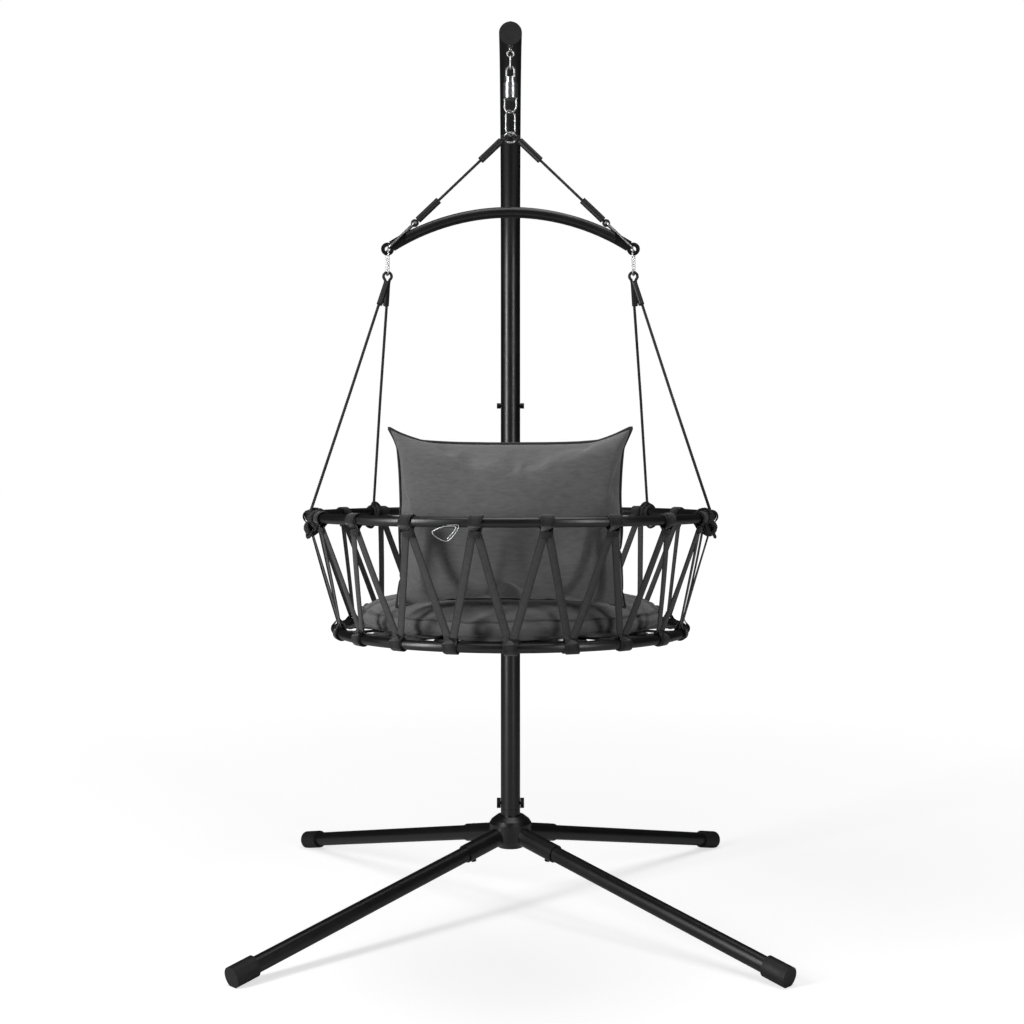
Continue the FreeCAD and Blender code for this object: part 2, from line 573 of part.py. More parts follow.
def rope_set(side, sign, hoop):
    """Link under the bow's end, a rope doubled through it, and a knot at each end on the hoop."""
    half, end_z = size("bow_half_span"), size("bow_end_height")
    middle = end_z - seat_offset - size("hanging_link_length") / 2
    oval_link(f"hanging_link_{side}_wire",
              at(sign * half, hook.y, middle,
                 Rotation(Z, 90 - sign * size("hanging_link_turn"))),
              "hanging_link_radius", "hanging_link_length", f"hanging_link_{side}")
    inner = size("rope_loop_radius") - size("rope_diameter") / 2
    wire_z = middle - size("hanging_link_length") / 2
    eye = Vector(sign * half, hook.y, wire_z - inner + wire / 2 + size("wire_gap"))
    fork = eye - Z * size("rope_loop_radius")
    loop = eye_loop(f"rope_loop_{side}", eye, Y, "rope_loop_radius")
    radius, height = size("upper_ring_radius"), size("upper_ring_height")
    beside = size("ring_diameter") / 2 + size("rope_diameter") / 2
    ends = {"rear": (90 - size("rear_knot_angle"), beside), "front": (90 + size("front_knot_angle"), 0)}
    runs = {}
    for place, (angle, out) in ends.items():
        end = on_ring(radius, sign * angle, height + size("rope_diameter"), out)
        runs[place] = rod(f"rope_run_{place}_{side}", fork, end, "rope_diameter")
    rear = join(f"rope_rear_{side}_solid", [loop, runs["rear"]])
    cut(f"rope_rear_{side}_cut", rear, hoop, f"rope_rear_{side}")
    taken = join(f"rope_front_{side}_tools", [rear, hoop])
    cut(f"rope_front_{side}_cut", runs["front"], taken, f"rope_front_{side}")
    both = join(f"rope_{side}_both", [rear, runs["front"]])
    skins = [bound("Part::Cylinder", f"rope_sleeve_{side}_{place}",
                   run.Placement * at(z=size("rope_diameter") / 2),
                   Radius="rope_sleeve_diameter / 2", Height="rope_sleeve_length")
             for place, run in runs.items()]
    cut(f"rope_sleeve_{side}_cut", join(f"rope_sleeve_{side}_skins", skins), both,
        f"rope_sleeve_{side}")
    for place, (angle, out) in ends.items():
        span = math.degrees(size(f"{place}_knot_width") / radius)
        turn = Rotation(Z, sign * angle - 90 - span / 2)
        turns = bound("Part::Torus", f"knot_turns_{place}_{side}", at(0, hook.y, height, turn),
                      Radius1="upper_ring_radius", Radius2="ring_diameter / 2 + rope_diameter")
        turns.Angle3 = span
        whole = turns
        if place == "rear":
            centre = on_ring(radius, sign * angle, height - size("knot_ball_drop"),
                             size("knot_ball_out"))
            ball = bound("Part::Sphere", f"knot_ball_{side}", Placement(centre, Rotation()),
                         Radius="knot_ball_diameter / 2")
            whole = join(f"knot_solid_{side}", [turns, ball])
        tools = join(f"knot_tools_{place}_{side}", [hoop, both])
        cut(f"knot_cut_{place}_{side}", whole, tools, f"knot_{place}_{side}")


def ring(name, radius, height, label):
    """A hoop of round tube, its bore sealed by the weld."""
    skin = bound("Part::Torus", f"{name}_skin", at(0, hook.y, size(height)),
                 Radius1=radius, Radius2="ring_diameter / 2")
    bore = bound("Part::Torus", f"{name}_bore", at(0, hook.y, size(height)),
                 Radius1=radius, Radius2="ring_diameter / 2 - ring_wall")
    cut(f"{name}_tube", skin, bore, label)
    return skin


def wraps(label, ring_skin, radius, height, angles):
    """Webbing turned once round a ring wherever two straps meet on it."""
    span = math.degrees(size("wrap_width") / size(radius))
    pieces = []
    for index, angle in enumerate(angles):
        turn = Rotation(Z, angle - 90 - span / 2)
        band = bound("Part::Torus", f"{label}_band_{index}", at(0, hook.y, size(height), turn),
                     Radius1=radius, Radius2="ring_diameter / 2 + wrap_thickness")
        band.Angle3 = span
        pieces.append(cut(f"{label}_{index}", band, ring_skin))
    group = doc.addObject("Part::Compound", f"{label}_group")
    group.Links = pieces
    return labelled(group, label)


def straps(label, upper_angles, lower_angles):
    """Flat straps that zigzag between the wraps of the two rings."""
    reach = size("ring_diameter") / 2 + size("wrap_thickness") + size("strap_gap")
    spread = size("strap_spread")
    count = len(lower_angles)
    pieces = []
    for index, low_angle in enumerate(lower_angles):
        for step, sign in ((0, -1), (1, 1)):
            high_angle = upper_angles[(index + step) % count]
            if step and high_angle < low_angle:
                high_angle += 360
            high_shift = math.degrees(-sign * spread / size("upper_ring_radius"))
            low_shift = math.degrees(sign * spread / size("lower_ring_radius"))
            top = on_ring(size("upper_ring_radius"), high_angle + high_shift,
                          size("upper_ring_height") - reach)
            foot = on_ring(size("lower_ring_radius"), low_angle + low_shift,
                           size("lower_ring_height") + reach)
            line = top - foot
            middle = (top + foot) * 0.5 - hook
            outward = Vector(middle.x, middle.y, 0)
            side = line.cross(outward).normalize()
            flat = Rotation(side, side.cross(line) * -1, line, "ZXY")
            place = Placement(foot, flat) * at(-size("strap_width") / 2,
                                               -size("strap_thickness") / 2)
            strip = bound("Part::Box", f"{label}_{index}_{step}", place,
                          Length="strap_width", Width="strap_thickness")
            strip.Height = line.Length
            pieces.append(strip)
    group = doc.addObject("Part::Compound", f"{label}_group")
    group.Links = pieces
    labelled(group, label)


def seat_webbing(ring_skin, ring_wraps):
    """Two crossing layers of wide bands stretched across the lower ring."""
    radius, height = size("lower_ring_radius"), size("lower_ring_height")
    width, pitch = size("seat_band_width"), size("seat_band_pitch")
    count, thick = int(size("seat_band_count")), size("seat_band_thickness")
    gap = size("seat_layer_gap")
    layers = {"long": (0, gap), "cross": (90, -thick - gap)}
    for name, (turn, drop) in layers.items():
        bands = []
        for index in range(count):
            offset = (index - (count - 1) / 2) * pitch
            half = math.sqrt(radius ** 2 - (abs(offset) + width / 2) ** 2)
            spin = at(0, hook.y, height + drop, Rotation(Z, turn))
            band = bound("Part::Box", f"seat_{name}_{index}",
                         spin * at(-half, offset - width / 2),
                         Width="seat_band_width", Height="seat_band_thickness")
            band.Length = 2 * half
            clear = cut(f"seat_{name}_cut_{index}", band, ring_skin)
            bands.append(cut(f"seat_{name}_end_{index}", clear, ring_wraps))
        group = doc.addObject("Part::Compound", f"seat_{name}_group")
        group.Links = bands
        labelled(group, f"seat_webbing_{name}")


def seat_cushion():
    """Round pad on the webbing: a disc with a full edge."""
    base = size("lower_ring_height") + size("seat_band_thickness") + size("soft_gap")
    disc = bound("Part::Cylinder", "cushion_disc", at(0, hook.y, base),
                 Radius="cushion_radius", Height="cushion_thickness")
    doc.recompute()
    soft = doc.addObject("Part::Fillet", "cushion_round")
    soft.Base = disc
    edge = size("cushion_edge")
    soft.Edges = [(index + 1, edge, edge) for index, line in enumerate(disc.Shape.Edges)
                  if isinstance(line.Curve, Part.Circle)]
    labelled(soft, "seat_cushion")
    return base + size("cushion_thickness")


def back_pillow(seat_top):
    """Scatter pillow that leans on the straps at the chair's back."""
    lean = Rotation(X, size("pillow_lean"))
    foot = Vector(0, hook.y - size("pillow_setback"), seat_top + size("pillow_lift"))
    place = Placement(foot, lean) * at(-size("pillow_width") / 2, -size("pillow_thickness") / 2)
    slab = bound("Part::Box", "pillow_slab", place, Length="pillow_width",
                 Width="pillow_thickness", Height="pillow_height")
    doc.recompute()
    soft = doc.addObject("Part::Fillet", "pillow_round")
    soft.Base = slab
    edge = size("pillow_edge")
    soft.Edges = [(index + 1, edge, edge) for index in range(len(slab.Shape.Edges))]
    labelled(soft, "back_pillow")


base_hub()
for leg_name, leg_azimuth in LEGS.items():
    leg(leg_name, leg_azimuth)
    foot_cap(leg_name, leg_azimuth)
leg_bolts()
lower_pole()
arm_tip = upper_pole()
pole_insert()
pole_bolts()
end_cap(arm_tip)
hook_centre = hook_eye()
swing_pivot, ring_centre = hanging_hardware(hook_centre)
bow_bar()
upper_skin = ring("upper_hoop", "upper_ring_radius", "upper_ring_height", "upper_ring")
lower_skin = ring("lower_hoop", "lower_ring_radius", "lower_ring_height", "lower_ring")
for side_name, side_sign in SIDES.items():
    sling(side_name, side_sign, ring_centre)
    rope_set(side_name, side_sign, upper_skin)
pitch_angle = 360 / size("strap_pairs")
lower_set = [index * pitch_angle for index in range(int(size("strap_pairs")))]
upper_set = [angle - pitch_angle / 2 for angle in lower_set]
wraps("upper_wraps", upper_skin, "upper_ring_radius", "upper_ring_height", upper_set)
rim_wraps = wraps("lower_wraps", lower_skin, "lower_ring_radius", "lower_ring_height", lower_set)
straps("side_straps", upper_set, lower_set)
seat_webbing(lower_skin, rim_wraps)
back_pillow(seat_cushion())

doc.recompute()
for item in doc.Objects:
    if "Invalid" in item.State or "Error" in item.State:
        raise RuntimeError(f"{item.Label}: {item.State}")
os.makedirs("parts", exist_ok=True)
for node in NODES:
    if node.Shape.isNull() or not node.Shape.isValid():
        raise RuntimeError(f"{node.Label} has no valid shape")
    node.Shape.exportStep(f"parts/{node.Label}.step")
print(len(NODES), "sub-parts")
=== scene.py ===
"""Looks of the hanging basket chair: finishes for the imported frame, and its soft pieces."""
import json
import math
import random

import bpy
from mathutils import Matrix, Vector


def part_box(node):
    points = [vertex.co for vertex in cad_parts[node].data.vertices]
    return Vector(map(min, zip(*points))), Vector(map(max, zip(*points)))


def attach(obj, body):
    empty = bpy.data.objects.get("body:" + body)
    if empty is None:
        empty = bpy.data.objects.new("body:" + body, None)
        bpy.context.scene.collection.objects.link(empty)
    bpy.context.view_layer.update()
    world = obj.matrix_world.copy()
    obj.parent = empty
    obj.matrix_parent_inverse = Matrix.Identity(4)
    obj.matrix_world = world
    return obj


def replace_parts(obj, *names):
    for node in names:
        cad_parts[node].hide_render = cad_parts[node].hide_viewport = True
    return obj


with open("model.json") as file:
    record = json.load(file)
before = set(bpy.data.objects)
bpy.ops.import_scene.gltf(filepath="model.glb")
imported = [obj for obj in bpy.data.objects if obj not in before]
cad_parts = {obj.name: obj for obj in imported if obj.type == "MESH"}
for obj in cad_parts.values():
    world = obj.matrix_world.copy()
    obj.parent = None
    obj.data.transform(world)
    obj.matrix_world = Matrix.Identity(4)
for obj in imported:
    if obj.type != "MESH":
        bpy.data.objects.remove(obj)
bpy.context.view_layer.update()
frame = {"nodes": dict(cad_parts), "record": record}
BODY_OF = {node: body for body, nodes in frame["record"]["behaviour"]["bodies"].items()
           for node in nodes}


# ---- camera, light and floor -------------------------------------------------------------------
def set_camera():
    """Level view from eye height, with a small upward frame shift."""
    data = bpy.data.cameras.new("camera")
    data.lens = 52.14
    data.sensor_width = 36
    data.shift_x = 0.0015
    data.shift_y = -0.039
    camera = bpy.data.objects.new("camera", data)
    camera.location = (0, -3.52, 1.03)
    camera.rotation_euler = (math.radians(90), 0, 0)
    bpy.context.scene.collection.objects.link(camera)
    bpy.context.scene.camera = camera


def add_light(name, location, target, size, power):
    data = bpy.data.lights.new(name, "AREA")
    data.shape = "RECTANGLE"
    data.size, data.size_y = size
    data.energy = power
    lamp = bpy.data.objects.new(name, data)
    lamp.location = location
    lamp.rotation_euler = (Vector(target) - Vector(location)).to_track_quat("-Z", "Y").to_euler()
    bpy.context.scene.collection.objects.link(lamp)


def set_studio():
    """White to the eye; the chair is lit by a dim, slightly blue sky and three lamps."""
    bpy.context.scene.view_settings.view_transform = "Standard"
    world = bpy.data.worlds.new("studio")
    bpy.context.scene.world = world
    world.use_nodes = True
    nodes, links = world.node_tree.nodes, world.node_tree.links
    nodes.clear()
    seen = nodes.new("ShaderNodeBackground")
    fill = nodes.new("ShaderNodeBackground")
    for sky, colour, strength in ((seen, (1, 1, 1, 1), 1.0), (fill, (0.92, 0.95, 1, 1), 0.03)):
        sky.inputs["Color"].default_value = colour
        sky.inputs["Strength"].default_value = strength
    path = nodes.new("ShaderNodeLightPath")
    mix = nodes.new("ShaderNodeMixShader")
    out = nodes.new("ShaderNodeOutputWorld")
    links.new(path.outputs["Is Camera Ray"], mix.inputs["Fac"])
    links.new(fill.outputs[0], mix.inputs[1])
    links.new(seen.outputs[0], mix.inputs[2])
    links.new(mix.outputs[0], out.inputs["Surface"])
    add_light("key_left", (-2.6, -2.3, 1.7), (0, -0.2, 1.1), (0.56, 2.8), 104)
    add_light("fill_right", (2.1, -3.0, 1.7), (0, -0.2, 1.1), (0.4, 2.8), 42)
    add_light("overhead", (0.2, -0.6, 4.4), (0, -0.3, 0), (3.2, 2.6), 70)


def set_floor():
    """White paper whose glow, seen by the camera only, grows away from the chair."""
    near, far, half = -8, 60, 30
    corners = [(-half, near, 0), (half, near, 0), (half, far, 0), (-half, far, 0)]
    mesh = bpy.data.meshes.new("floor")
    mesh.from_pydata(corners, [], [(0, 1, 2, 3)])
    floor = bpy.data.objects.new("floor", mesh)
    bpy.context.scene.collection.objects.link(floor)
    paper = bpy.data.materials.new("white_paper")
    paper.use_nodes = True
    nodes, links = paper.node_tree.nodes, paper.node_tree.links
    nodes.clear()
    matt = nodes.new("ShaderNodeBsdfDiffuse")
    matt.inputs["Color"].default_value = (0.55, 0.55, 0.55, 1)
    glow = nodes.new("ShaderNodeEmission")
    coords = nodes.new("ShaderNodeTexCoord")
    reach = nodes.new("ShaderNodeVectorMath")
    reach.operation = "LENGTH"
    links.new(coords.outputs["Object"], reach.inputs[0])
    spread = nodes.new("ShaderNodeMapRange")
    for name, value in (("From Min", 0.9), ("From Max", 4.5), ("To Min", 0.66), ("To Max", 1.0)):
        spread.inputs[name].default_value = value
    links.new(reach.outputs["Value"], spread.inputs["Value"])
    path = nodes.new("ShaderNodeLightPath")
    shown = nodes.new("ShaderNodeMath")
    shown.operation = "MULTIPLY"
    links.new(spread.outputs["Result"], shown.inputs[0])
    links.new(path.outputs["Is Camera Ray"], shown.inputs[1])
    links.new(shown.outputs[0], glow.inputs["Strength"])
    both = nodes.new("ShaderNodeAddShader")
    out = nodes.new("ShaderNodeOutputMaterial")
    links.new(matt.outputs[0], both.inputs[0])
    links.new(glow.outputs[0], both.inputs[1])
    links.new(both.outputs[0], out.inputs["Surface"])
    mesh.materials.append(paper)


set_camera()
set_studio()
set_floor()


# ---- materials ---------------------------------------------------------------------------------
class Finish:
    """A node material under construction."""

    def __init__(self, name):
        self.material = bpy.data.materials.new(name)
        self.material.use_nodes = True
        self.nodes = self.material.node_tree.nodes
        self.links = self.material.node_tree.links
        self.shader = self.nodes["Principled BSDF"]
        self.coords = self.nodes.new("ShaderNodeTexCoord")

    def set(self, **values):
        for name, value in values.items():
            label = name.replace("_", " ").title().replace("Ior", "IOR")
            self.shader.inputs[label].default_value = value

    def noise(self, scale, detail=2.0, stretch=None):
        made = self.nodes.new("ShaderNodeTexNoise")
        made.inputs["Scale"].default_value = scale
        made.inputs["Detail"].default_value = detail
        source = self.coords.outputs["Object"]
        if stretch:
            mapping = self.nodes.new("ShaderNodeMapping")
            mapping.inputs["Scale"].default_value = stretch
            self.links.new(source, mapping.inputs["Vector"])
            source = mapping.outputs["Vector"]
        self.links.new(source, made.inputs["Vector"])
        return made.outputs["Fac"]

    def axes(self, coords="Object"):
        made = self.nodes.new("ShaderNodeSeparateXYZ")
        self.links.new(self.coords.outputs[coords], made.inputs[0])
        return made.outputs

    def ramp(self, source, stops):
        """Maps a value to colours; stops are (place, grey or (r, g, b))."""
        made = self.nodes.new("ShaderNodeValToRGB")
        points = made.color_ramp.elements
        while len(points) < len(stops):
            points.new(0.5)
        for point, (place, colour) in zip(points, stops):
            point.position = place
            point.color = (*(colour if isinstance(colour, tuple) else (colour,) * 3), 1)
        self.links.new(source, made.inputs["Fac"])
        return made.outputs["Color"]

    def math(self, operation, first, second=None):
        made = self.nodes.new("ShaderNodeMath")
        made.operation = operation
        for socket, value in zip(made.inputs, (first, second)):
            if isinstance(value, (int, float)):
                socket.default_value = value
            elif value is not None:
                self.links.new(value, socket)
        return made.outputs[0]

    def multiply(self, first, second):
        made = self.nodes.new("ShaderNodeMix")
        made.data_type = "RGBA"
        made.blend_type = "MULTIPLY"
        made.inputs["Factor"].default_value = 1
        self.links.new(first, made.inputs["A"])
        self.links.new(second, made.inputs["B"])
        return made.outputs["Result"]

    def colour(self, source):
        self.links.new(source, self.shader.inputs["Base Color"])

    def roughness(self, source, low, high):
        self.links.new(self.ramp(source, [(0.25, low), (0.8, high)]),
                       self.shader.inputs["Roughness"])

    def bump(self, height, distance, strength=1.0):
        made = self.nodes.new("ShaderNodeBump")
        made.inputs["Strength"].default_value = strength
        made.inputs["Distance"].default_value = distance
        self.links.new(height, made.inputs["Height"])
        socket = self.shader.inputs["Normal"]
        if socket.is_linked:
            self.links.new(socket.links[0].from_socket, made.inputs["Normal"])
        self.links.new(made.outputs["Normal"], socket)

    def threads(self, value, pitch):
        """Rounded rows of thread, one each pitch."""
        wave = self.math("SINE", self.math("MULTIPLY", value, math.pi / pitch))
        return self.math("ABSOLUTE", wave)

    def weave(self, warp, weft, pitch):
        """Plain weave: a warp thread and a weft thread take turns on top."""
        first = self.math("SINE", self.math("MULTIPLY", warp, 2 * math.pi / pitch))
        second = self.math("SINE", self.math("MULTIPLY", weft, 2 * math.pi / pitch))
        turns = self.math("MULTIPLY", first, second)
        return self.math("ADD", self.math("MULTIPLY", turns, 0.5), 0.5)


def powder_coat():
    """Satin black stove enamel: fine orange peel and a gloss that varies a little."""
    finish = Finish("satin_black_powder_coat")
    finish.set(coat_weight=0.2, coat_roughness=0.28)
    finish.colour(finish.ramp(finish.noise(9, 3), [(0.3, 0.0025), (0.7, 0.0045)]))
    finish.roughness(finish.noise(24, 4), 0.31, 0.41)
    finish.bump(finish.noise(900, 2), 0.0001, 0.5)
    return finish.material


def moulded_plastic():
    """Matt black polypropylene with a fine grain, and scuffs next to the floor."""
    finish = Finish("moulded_black_plastic")
    finish.set(ior=1.49)
    height = finish.axes()[2]
    scuffs = finish.math("MULTIPLY", finish.noise(130, 6),
                         finish.ramp(height, [(0.0, 1.0), (0.012, 0.55)]))
    finish.colour(finish.ramp(scuffs, [(0.3, 0.005), (0.62, 0.009), (0.8, 0.03)]))
    finish.roughness(finish.noise(60, 5), 0.5, 0.68)
    finish.bump(finish.noise(1500, 3), 0.00018, 0.7)
    return finish.material


def dark_bolt():
    """Black oxide on steel, rubbed a little brighter where a spanner has turned it."""
    finish = Finish("black_oxide_bolt")
    finish.set(metallic=0.85)
    finish.colour(finish.ramp(finish.noise(240, 5), [(0.35, 0.018), (0.72, 0.035), (0.9, 0.09)]))
    finish.roughness(finish.noise(300, 3), 0.3, 0.5)
    finish.bump(finish.noise(2200, 2), 0.00005, 0.5)
    return finish.material


def bright_zinc():
    """Zinc plate: satin metal, a little blue and a little yellow in patches, with hairlines."""
    finish = Finish("bright_zinc_plate")
    finish.set(metallic=1.0)
    finish.colour(finish.ramp(finish.noise(70, 4), [(0.3, (0.42, 0.45, 0.47)),
                                                   (0.5, (0.55, 0.56, 0.57)),
                                                   (0.75, (0.5, 0.49, 0.44))]))
    finish.roughness(finish.noise(400, 5), 0.24, 0.4)
    finish.bump(finish.noise(1200, 3, stretch=(1, 1, 0.12)), 0.00002, 0.3)
    return finish.material


def braid_yarn():
    """Black polyester yarn: fine filaments, a soft sheen and a little dust in the grooves."""
    finish = Finish("black_braid_yarn")
    finish.set(sheen_weight=0.2, sheen_roughness=0.4)
    finish.colour(finish.ramp(finish.noise(900, 3), [(0.35, 0.004), (0.65, 0.012)]))
    finish.roughness(finish.noise(500, 3), 0.6, 0.8)
    finish.bump(finish.noise(4200, 2), 0.0002, 0.6)
    return finish.material


def shrink_sleeve():
    """Black shrunk tubing: satin, with the faint rings it keeps from the rope under it."""
    finish = Finish("black_shrink_sleeve")
    finish.set(coat_weight=0.15, coat_roughness=0.35)
    finish.colour(finish.ramp(finish.noise(90, 3), [(0.3, 0.002), (0.7, 0.0045)]))
    finish.roughness(finish.noise(140, 4), 0.42, 0.58)
    ring_pitch = 0.0045
    rings = finish.math("SINE", finish.math("MULTIPLY", finish.axes()[2],
                                            2 * math.pi / ring_pitch))
    finish.bump(rings, 0.00022, 0.35)
    finish.bump(finish.noise(350, 3), 0.0003, 0.4)
    return finish.material


def webbing(name, dark, light):
    """Flat polyester webbing: ribs across, fine warp along, a darker bound edge, and painted shade
    in the grooves between the threads.
    """
    finish = Finish(name)
    finish.set(sheen_weight=0.25, sheen_roughness=0.45, specular_ior_level=0.3)
    across, along = finish.axes("UV")[:2]
    rib_pitch = 0.0021
    cloth = finish.weave(across, along, rib_pitch)
    ribs = finish.threads(along, rib_pitch)
    tone = finish.ramp(finish.noise(160, 5), [(0.25, dark), (0.75, light)])
    # painted shade: the colour is darkened where the ribs and the weave are low, in the grooves
    # between threads
    painted_groove_shade = finish.ramp(finish.math("MULTIPLY", cloth, ribs), [(0.0, 0.72), (0.5, 1.0)])
    edge = finish.ramp(finish.math("ABSOLUTE", across), [(0.0058, 1.0), (0.0074, 0.45)])
    finish.colour(finish.multiply(finish.multiply(tone, painted_groove_shade), edge))
    finish.roughness(finish.noise(260, 3), 0.72, 0.9)
    finish.bump(ribs, 0.00035, 0.7)
    finish.bump(cloth, 0.0003, 0.5)
    return finish.material


def canvas(name, first, second, dark, light):
    """Solution-dyed canvas: plain weave on two of the three axes, slubs, a heathered grey, and
    painted shade in the hollows of the weave.
    """
    finish = Finish(name)
    finish.set(sheen_weight=0.3, sheen_roughness=0.5, specular_ior_level=0.25)
    axes = finish.axes()
    cloth = finish.weave(axes[first], axes[second], 0.0022)
    slubs = finish.noise(220, 4, stretch=(0.25, 1, 1))
    tone = finish.ramp(finish.noise(7, 3), [(0.3, dark), (0.7, light)])
    heather = finish.ramp(slubs, [(0.3, 0.84), (0.7, 1.08)])
    # painted shade: the colour is darkened where the weave is low, in the hollows between threads
    weave_hollow_shade = finish.ramp(cloth, [(0.0, 0.8), (0.6, 1.0)])
    finish.colour(finish.multiply(finish.multiply(tone, heather), weave_hollow_shade))
    finish.roughness(finish.noise(90, 3), 0.82, 0.95)
    finish.bump(cloth, 0.00045, 0.55)
    finish.bump(slubs, 0.0004, 0.5)
    finish.bump(finish.noise(38, 3), 0.0025, 0.45)
    return finish.material


def piping_cloth(name, dark, light):
    """The canvas cut on the bias round a cord: ribs that slant across the piping, coloured by
    random tone with painted shade in the grooves between the ribs.
    """
    finish = Finish(name)
    finish.set(sheen_weight=0.25, sheen_roughness=0.5, specular_ior_level=0.25)
    around, along = finish.axes("UV")[:2]
    slant = finish.threads(finish.math("ADD", around, along), 0.0019)
    # colour: random tone times the rib height, so the grooves between the ribs get painted shade
    finish.colour(finish.ramp(finish.math("MULTIPLY", slant, finish.noise(400, 3)),
                              [(0.1, dark), (0.6, light)]))
    finish.roughness(finish.noise(120, 3), 0.8, 0.94)
    finish.bump(slant, 0.0003, 0.6)
    return finish.material


ENAMEL = powder_coat()
PLASTIC = moulded_plastic()
OXIDE = dark_bolt()
ZINC = bright_zinc()
YARN = braid_yarn()
SLEEVE = shrink_sleeve()
STRAP = webbing("charcoal_webbing", 0.042, 0.06)
BINDING = webbing("black_binding_webbing", 0.013, 0.024)
PILLOW_CANVAS = canvas("grey_canvas_pillow", 0, 2, 0.105, 0.13)
SEAT_CANVAS = canvas("grey_canvas_seat", 0, 1, 0.105, 0.13)
PIPING = piping_cloth("dark_piping", 0.014, 0.035)
SEAT_PIPING = piping_cloth("grey_piping", 0.05, 0.095)

FINISH_OF_SLOT = {"black_steel": ENAMEL, "black_plastic": PLASTIC, "black_bolt": OXIDE,
                  "zinc_steel": ZINC, "black_rope": YARN, "black_sleeve": SLEEVE,
                  "grey_webbing": STRAP, "grey_canvas": PILLOW_CANVAS}


# ---- building tools ----------------------------------------------------------------------------
class Tree:
    """A geometry node tree with named inputs that turns a path into a smooth, finished piece."""

    def __init__(self, name, **inputs):
        self.tree = bpy.data.node_groups.new(name, "GeometryNodeTree")
        face = self.tree.interface
        face.new_socket("Path", in_out="INPUT", socket_type="NodeSocketGeometry")
        for label, value in inputs.items():
            kind = "NodeSocketInt" if isinstance(value, int) else "NodeSocketFloat"
            face.new_socket(label, in_out="INPUT", socket_type=kind).default_value = value
        face.new_socket("Finish", in_out="INPUT", socket_type="NodeSocketMaterial")
        face.new_socket("Piece", in_out="OUTPUT", socket_type="NodeSocketGeometry")
        self.inputs = self.tree.nodes.new("NodeGroupInput").outputs

    def add(self, kind, settings=None, **sockets):
        """Adds a node; sockets go by label, with _ for a space, or by place as i0, i1 ..."""
        node = self.tree.nodes.new(kind)
        for name, value in (settings or {}).items():
            setattr(node, name, value)
        for label, value in sockets.items():
            if label[0] == "i" and label[1:].isdigit():
                socket = node.inputs[int(label[1:])]
            else:
                named = [s for s in node.inputs if s.name == label.replace("_", " ")]
                socket = next((s for s in named if s.enabled), named[0])
            if isinstance(value, bpy.types.NodeSocket):
                self.tree.links.new(value, socket)
            else:
                socket.default_value = value
        return next(s for s in node.outputs if s.enabled)

    def math(self, operation, first, second=0.0):
        return self.add("ShaderNodeMath", {"operation": operation}, i0=first, i1=second)

    def vector(self, operation, first, second):
        return self.add("ShaderNodeVectorMath", {"operation": operation}, i0=first, i1=second)

    def scaled(self, vector, factor):
        return self.add("ShaderNodeVectorMath", {"operation": "SCALE"}, i0=vector, Scale=factor)

    def finish(self, geometry):
        whole = self.add("GeometryNodeRealizeInstances", Geometry=geometry)
        smooth = self.add("GeometryNodeSetShadeSmooth", Geometry=whole, Shade_Smooth=True)
        dressed = self.add("GeometryNodeSetMaterial", Geometry=smooth,
                           Material=self.inputs["Finish"])
        out = self.tree.nodes.new("NodeGroupOutput")
        self.tree.links.new(dressed, out.inputs["Piece"])
        return self.tree

    def stored(self, geometry, name, value):
        return self.add("GeometryNodeStoreNamedAttribute", {"data_type": "FLOAT"},
                        Geometry=geometry, Name=name, Value=value)

    def measured(self, curve):
        """Stores how far along the curve each point is."""
        node = self.tree.nodes.new("GeometryNodeSplineParameter")
        return self.stored(curve, "along", node.outputs["Length"])

    def swept(self, path, profile):
        """Sweeps a profile along a measured path, with a UV map of across and along in metres."""
        split = self.tree.nodes.new("ShaderNodeSeparateXYZ")
        self.tree.links.new(self.add("GeometryNodeInputPosition"), split.inputs[0])
        profile = self.stored(profile, "across", split.outputs["Y"])
        mesh = self.add("GeometryNodeCurveToMesh", Curve=path, Profile_Curve=profile,
                        Fill_Caps=True)
        return self.finish(self.unwrapped(mesh))

    def unwrapped(self, mesh):
        """Turns the stored measures into a UV map in metres."""
        across = self.add("GeometryNodeInputNamedAttribute", {"data_type": "FLOAT"}, Name="across")
        along = self.add("GeometryNodeInputNamedAttribute", {"data_type": "FLOAT"}, Name="along")
        both = self.add("ShaderNodeCombineXYZ", X=across, Y=along)
        return self.add("GeometryNodeStoreNamedAttribute",
                        {"data_type": "FLOAT2", "domain": "CORNER"},
                        Geometry=mesh, Name="UVMap", Value=both)


def ribbon_tree():
    """Flat webbing that follows a path, its face turned to the path's stored direction."""
    tree = Tree("webbing_along_path", Width=0.015, Thickness=0.0024)
    path = tree.add("GeometryNodeMeshToCurve", Mesh=tree.inputs["Path"])
    facing = tree.add("GeometryNodeInputNamedAttribute", {"data_type": "FLOAT_VECTOR"},
                      Name="facing")
    path = tree.add("GeometryNodeSetCurveNormal", {"mode": "FREE"}, Curve=path, Normal=facing)
    path = tree.measured(path)
    profile = tree.add("GeometryNodeCurvePrimitiveQuadrilateral",
                       Width=tree.inputs["Thickness"], Height=tree.inputs["Width"])
    radius = tree.math("MULTIPLY", tree.inputs["Thickness"], 0.42)
    profile = tree.add("GeometryNodeFilletCurve", {"mode": "POLY"}, Curve=profile, Radius=radius,
                       Count=2)
    return tree.swept(path, profile)


def piping_tree():
    """A round cord, or a bent wire, that follows a path."""
    tree = Tree("round_cord_along_path", Diameter=0.005, Sides=10)
    path = tree.measured(tree.add("GeometryNodeMeshToCurve", Mesh=tree.inputs["Path"]))
    radius = tree.math("MULTIPLY", tree.inputs["Diameter"], 0.5)
    profile = tree.add("GeometryNodeCurvePrimitiveCircle", Resolution=tree.inputs["Sides"],
                       Radius=radius)
    return tree.swept(path, profile)


